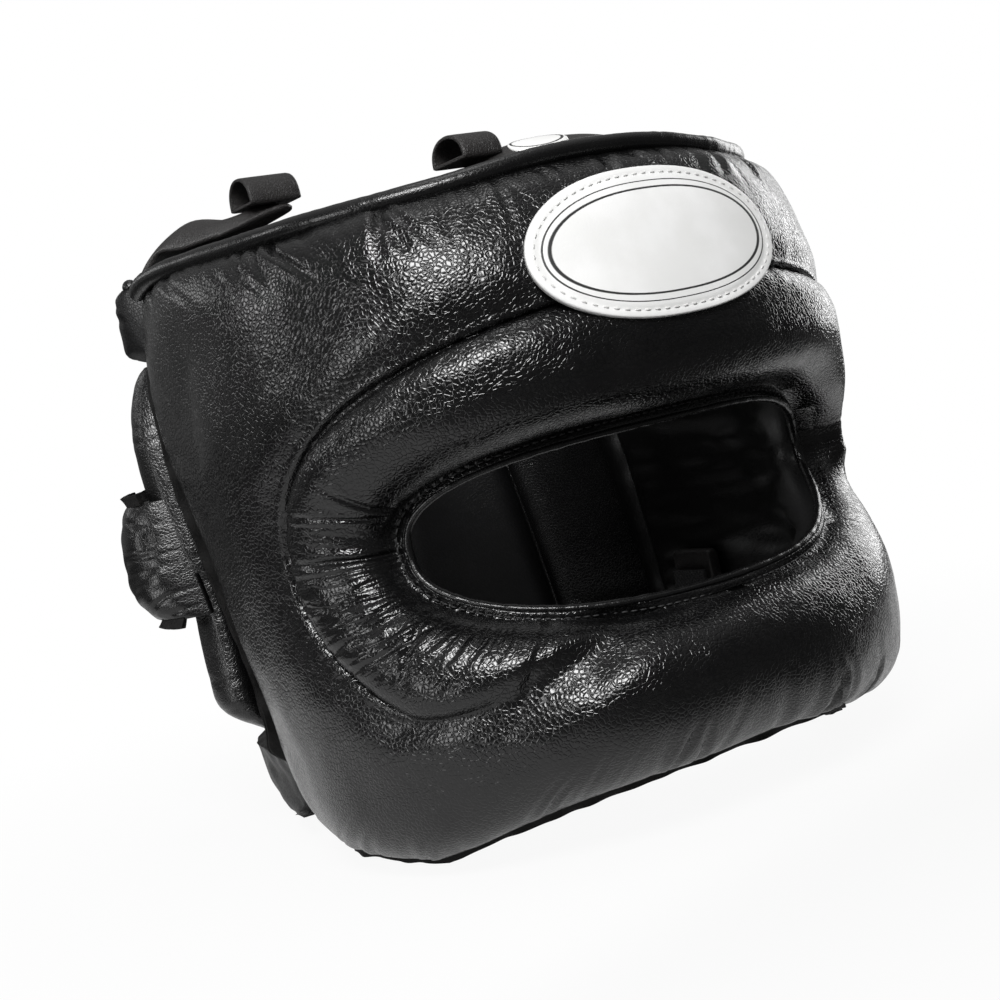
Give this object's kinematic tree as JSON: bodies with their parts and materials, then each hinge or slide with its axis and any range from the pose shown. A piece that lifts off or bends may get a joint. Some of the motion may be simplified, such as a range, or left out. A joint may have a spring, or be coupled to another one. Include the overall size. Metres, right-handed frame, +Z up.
{
  "type": "full-face boxing headgear",
  "caption": "Padded leather full-face boxing headgear with a wide eye slot, a face bar, ear bolsters, hinged rear halves, a closure strap, crown flaps with belt loops and a chin strap.",
  "frame": {"origin": "middle of the footprint, on the surface that the headgear stands on", "axes": "+Z up, the eye slot faces -Y, the wearer's left is +X"},
  "size_m": [0.2556, 0.2847, 0.2536],
  "materials": {
    "cover_leather": "satin, grained",
    "trim_leather": "smooth satin",
    "raw_edge": "matte, cut edge",
    "lining_leather": "smooth, dull",
    "foam": "matte",
    "badge": "satin white",
    "closure_tape": "matte pile",
    "webbing": "woven",
    "steel": "bright wire"
  },
  "bodies": {
    "front": {"front_cover": "cover_leather", "front_foam": "foam", "front_lining": "lining_leather", "eye_binding": "trim_leather", "rim_piping": "trim_leather", "bottom_welt": "raw_edge", "side_welt_left": "raw_edge", "side_welt_right": "raw_edge", "forehead_badge": "badge", "chin_anchor_left": "trim_leather", "chin_anchor_right": "trim_leather"},
    "wing_left": {"rear_pad_left": "cover_leather", "ear_guard_left": "cover_leather", "ear_roll_left": "cover_leather", "rear_piping_left": "trim_leather", "strap_patch": "trim_leather"},
    "wing_right": {"rear_pad_right": "cover_leather", "ear_guard_right": "cover_leather", "ear_roll_right": "cover_leather", "rear_piping_right": "trim_leather", "loop_panel": "closure_tape"},
    "strap": {"closure_strap": "trim_leather"},
    "chin": {"chin_strap": "webbing", "strap_slider": "steel"},
    "flap_front": {"crown_flap_front": "trim_leather", "crown_loop_front": "trim_leather", "size_label": "badge"},
    "flap_left": {"crown_flap_left": "trim_leather", "crown_loop_left": "trim_leather"},
    "flap_right": {"crown_flap_right": "trim_leather", "crown_loop_right": "trim_leather"}
  },
  "joints": [
    {"name": "wing_left_open", "type": "hinge", "parent": "front", "child": "wing_left", "pos_m": [-0.11382, 0.03594, 0.02], "axis": [0.0592, 0.1978, 0.9785], "range_deg": [0, 32]},
    {"name": "wing_right_open", "type": "hinge", "parent": "front", "child": "wing_right", "pos_m": [0.11382, 0.03594, 0.02], "axis": [-0.0592, 0.1978, 0.9785], "range_deg": [-32, 0]},
    {"name": "strap_peel", "type": "hinge", "parent": "wing_left", "child": "strap", "pos_m": [-0.02002, 0.13587, 0.15], "axis": [0, 0, 1], "range_deg": [0, 100]},
    {"name": "chin_swing", "type": "hinge", "parent": "front", "child": "chin", "pos_m": [0, 0, 0.062], "axis": [1, 0, 0], "range_deg": [-35, 35]},
    {"name": "flap_front_fold", "type": "hinge", "parent": "front", "child": "flap_front", "pos_m": [-0.01563, -0.09595, 0.22275], "axis": [0.9956, -0.0868, 0.0364], "range_deg": [-25, 0]},
    {"name": "flap_left_fold", "type": "hinge", "parent": "wing_left", "child": "flap_left", "pos_m": [-0.08218, 0.09783, 0.2227], "axis": [-0.6611, -0.7503, 0], "range_deg": [-25, 0]},
    {"name": "flap_right_lift", "type": "hinge", "parent": "wing_right", "child": "flap_right", "pos_m": [0.08218, 0.09783, 0.2227], "axis": [-0.6611, 0.7503, 0], "range_deg": [0, 25]}
  ],
  "couplings": [
    {"joint": "wing_right_open", "follows": "wing_left_open", "ratio": -1}
  ]
}
